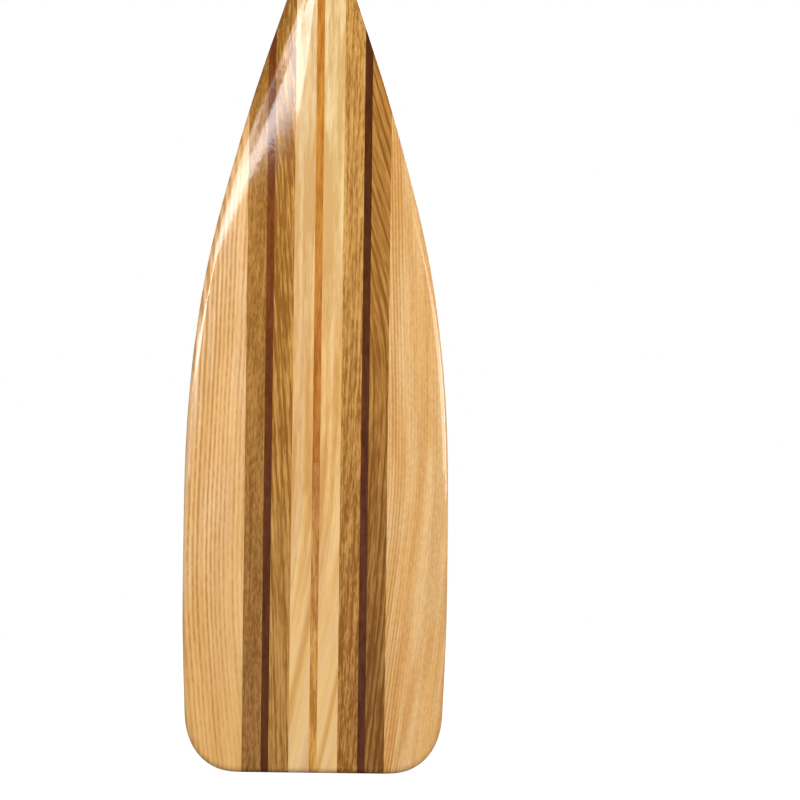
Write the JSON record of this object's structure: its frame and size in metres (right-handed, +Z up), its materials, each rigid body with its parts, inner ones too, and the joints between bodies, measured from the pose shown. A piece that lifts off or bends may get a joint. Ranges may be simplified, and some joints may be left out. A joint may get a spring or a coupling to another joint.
{
  "type": "canoe paddle",
  "caption": "Laminated wooden canoe paddle: square-tipped blade, oval shaft and flared palm grip, glued up from strips of light and dark wood.",
  "frame": {"origin": "middle of the blade's tip edge, at the lowest point of the paddle held upright with its blade down", "axes": "+Z up the shaft from the blade's tip to the grip, +X across the blade, +Y through the blade from the face the picture shows to the other face"},
  "size_m": [0.1906, 0.0318, 1.448],
  "materials": {
    "centre_strip_wood": "orange-brown wood under gloss varnish",
    "centre_strip_dark_wood": "darker streaked orange-brown wood under gloss varnish",
    "stave_wood": "pale straight-grained wood under gloss varnish",
    "strip_wood": "mid-brown open-grained wood under gloss varnish",
    "accent_wood": "dark red-brown wood under gloss varnish",
    "wing_wood": "light honey wood with bold straight grain under gloss varnish",
    "cheek_wood": "dark streaked brown wood under satin varnish"
  },
  "bodies": {
    "root": {"centre_strip_tip": "centre_strip_wood", "centre_strip_lower": "centre_strip_wood", "centre_strip_upper": "centre_strip_wood", "centre_strip_grip": "centre_strip_dark_wood", "left_shaft_stave": "stave_wood", "right_shaft_stave": "stave_wood", "left_inner_strip": "strip_wood", "right_inner_strip": "strip_wood", "left_accent_strip": "accent_wood", "right_accent_strip": "accent_wood", "left_outer_strip": "strip_wood", "right_outer_strip": "strip_wood", "left_wing": "wing_wood", "right_wing": "wing_wood", "left_grip_cheek": "cheek_wood", "right_grip_cheek": "cheek_wood"}
  },
  "joints": []
}
